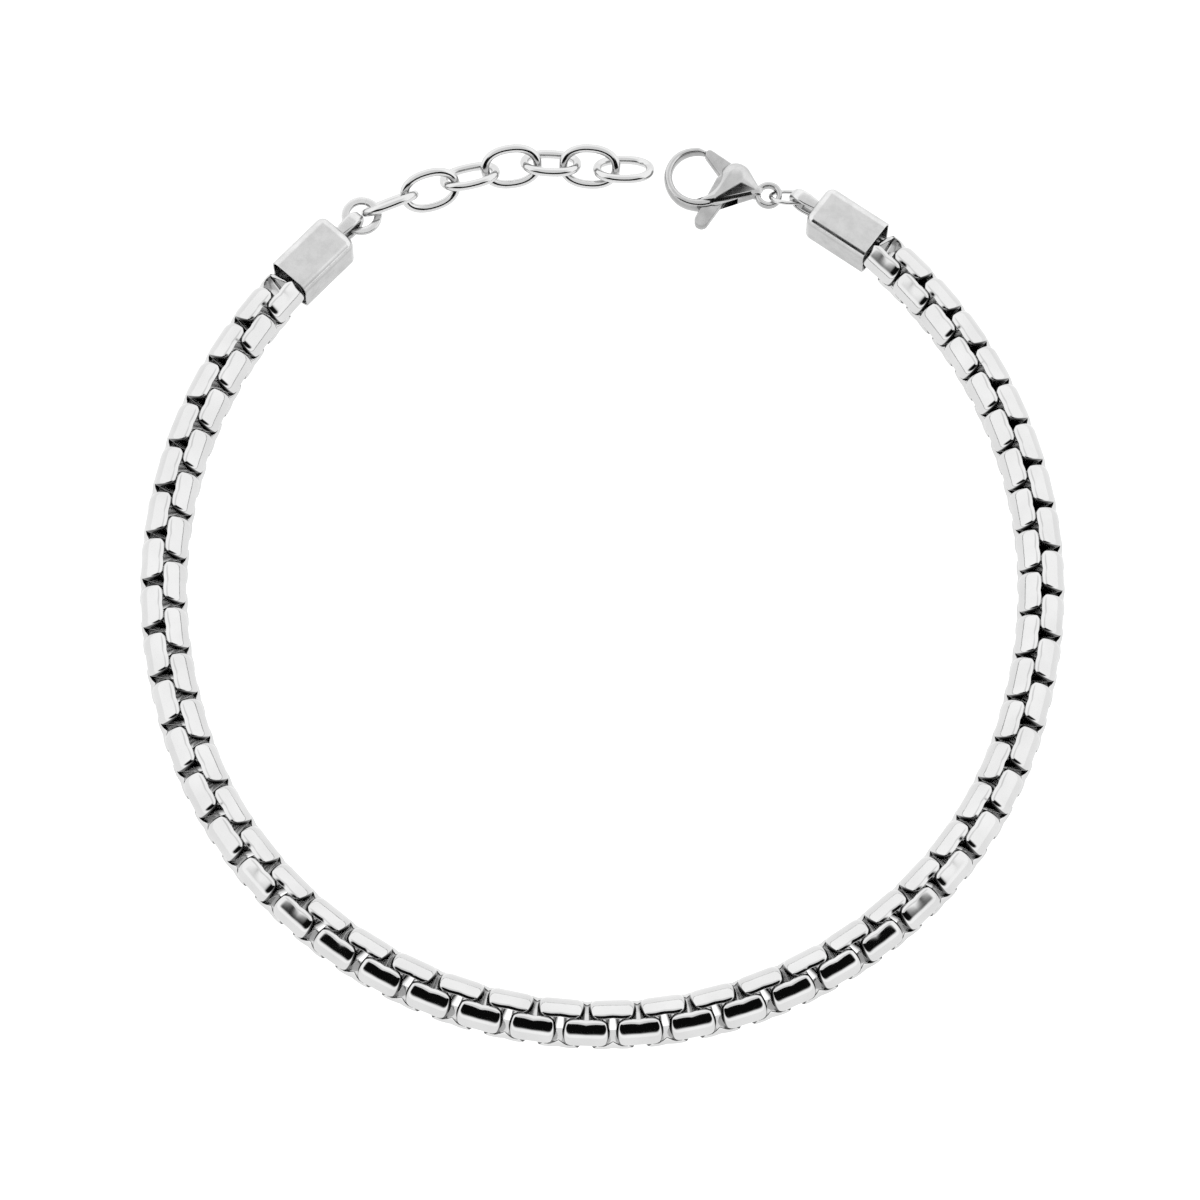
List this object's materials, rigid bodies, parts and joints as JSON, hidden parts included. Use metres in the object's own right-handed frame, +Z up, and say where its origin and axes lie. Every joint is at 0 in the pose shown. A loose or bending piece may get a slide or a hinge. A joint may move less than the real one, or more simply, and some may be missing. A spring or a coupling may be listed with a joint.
{
  "type": "box chain bracelet",
  "caption": "Steel box chain bracelet with square end caps, an oval-link extender chain and a lobster clasp with a sprung lever, lying open in a round loop.",
  "frame": {"origin": "middle of the bracelet's bounding box, on the surface that it lies on", "axes": "+Z up, +Y away from the viewer towards the clasp and the extender, +X to the viewer's right towards the clasp"},
  "size_m": [0.077, 0.0802, 0.004],
  "materials": {
    "polished_steel": "polished",
    "satin_steel": "fine satin"
  },
  "bodies": {
    "bracelet": {"chain_run_1": "polished_steel", "chain_run_2": "polished_steel", "chain_run_3": "polished_steel", "chain_run_4": "polished_steel", "chain_run_5": "polished_steel", "chain_run_6": "polished_steel", "chain_run_7": "polished_steel", "chain_run_8": "polished_steel", "chain_run_9": "polished_steel", "chain_run_10": "polished_steel", "chain_run_11": "polished_steel", "chain_run_12": "polished_steel", "chain_run_13": "polished_steel", "extender_link_1": "polished_steel", "extender_link_2": "polished_steel", "extender_link_3": "polished_steel", "extender_link_4": "polished_steel", "extender_link_5": "polished_steel", "extender_link_6": "polished_steel", "extender_link_7": "polished_steel", "end_cap_right": "satin_steel", "end_cap_left": "satin_steel", "flat_ring": "satin_steel", "clasp_ring": "polished_steel", "clasp_body": "satin_steel", "lever_pin": "satin_steel"},
    "lever": {"clasp_lever": "satin_steel"}
  },
  "joints": [
    {"name": "lever_hinge", "type": "hinge", "parent": "bracelet", "child": "lever", "pos_m": [0.0114, 0.0369, 0.0013], "axis": [0, 0, 1], "range_deg": [0, 28], "stiffness_Nm_per_rad": 0.003, "springref_deg": -17.19}
  ]
}
